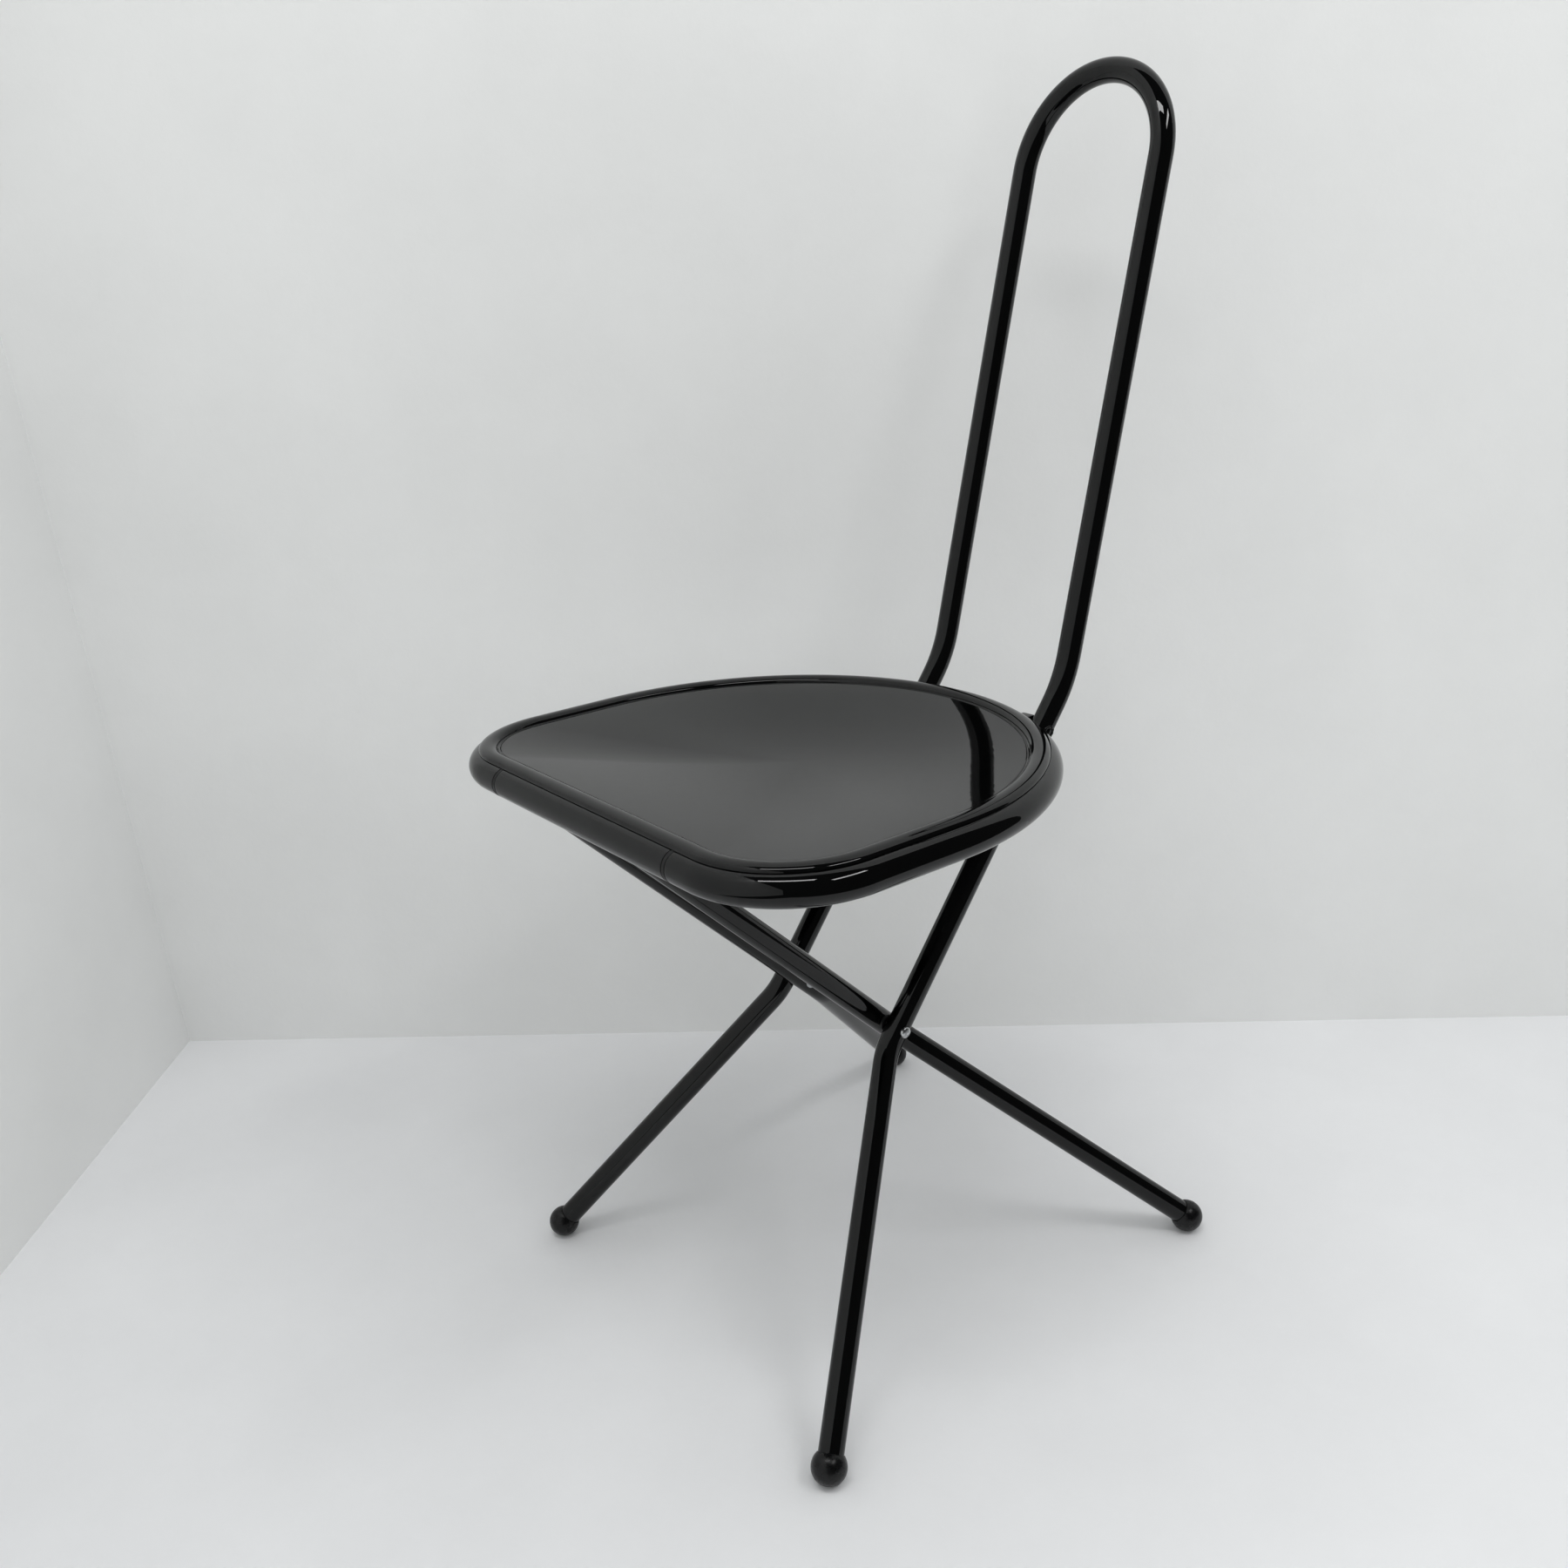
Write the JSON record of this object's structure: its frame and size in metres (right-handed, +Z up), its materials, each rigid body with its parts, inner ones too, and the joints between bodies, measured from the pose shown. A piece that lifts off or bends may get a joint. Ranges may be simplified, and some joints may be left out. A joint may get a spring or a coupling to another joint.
{
  "type": "folding chair",
  "caption": "Folding chair of bent black steel tube: tall narrow hoop back, crossed splayed legs on ball feet and a dished steel seat with a round back.",
  "frame": {"origin": "on the floor, in the middle of the chair's width and of its whole length", "axes": "+Z up, the chair faces -Y, +X is the sitter's left"},
  "size_m": [0.427, 0.5386, 0.8849],
  "materials": {
    "black_enamel": "high-gloss black enamel on steel",
    "foot_plastic": "satin moulded black plastic",
    "bush_plastic": "dull black nylon",
    "zinc_steel": "bright zinc plate"
  },
  "bodies": {
    "hoop_frame": {"hoop_frame_tube": "black_enamel", "latch_rod": "black_enamel", "front_foot_left": "foot_plastic", "front_foot_right": "foot_plastic", "pivot_rivet_left": "zinc_steel", "pivot_rivet_right": "zinc_steel", "pivot_washer_left": "bush_plastic", "pivot_washer_right": "bush_plastic"},
    "rear_leg_frame": {"front_rail_tube": "black_enamel", "rear_leg_left": "black_enamel", "rear_leg_right": "black_enamel", "rear_foot_left": "foot_plastic", "rear_foot_right": "foot_plastic", "hinge_bush_left": "bush_plastic", "hinge_bush_right": "bush_plastic"},
    "seat": {"seat_ring_tube": "black_enamel", "seat_pan": "black_enamel", "hinge_pin_left": "zinc_steel", "hinge_pin_right": "zinc_steel", "latch_hook_left": "black_enamel", "latch_hook_right": "black_enamel", "pan_tab_side_left": "black_enamel", "pan_stud_side_left": "zinc_steel", "pan_nut_side_left": "zinc_steel", "pan_tab_rear_left": "black_enamel", "pan_stud_rear_left": "zinc_steel", "pan_nut_rear_left": "zinc_steel", "pan_tab_rear_right": "black_enamel", "pan_stud_rear_right": "zinc_steel", "pan_nut_rear_right": "zinc_steel", "pan_tab_side_right": "black_enamel", "pan_stud_side_right": "zinc_steel", "pan_nut_side_right": "zinc_steel"}
  },
  "joints": [
    {"name": "leg_fold", "type": "hinge", "parent": "hoop_frame", "child": "rear_leg_frame", "pos_m": [0, -0.06143, 0.22434], "axis": [-1, 0, 0], "range_deg": [0, 75]},
    {"name": "seat_fold", "type": "hinge", "parent": "rear_leg_frame", "child": "seat", "pos_m": [0, -0.2581, 0.4365], "axis": [1, 0, 0], "range_deg": [0, 150]}
  ],
  "couplings": [
    {"joint": "seat_fold", "follows": "leg_fold", "ratio": 2}
  ]
}
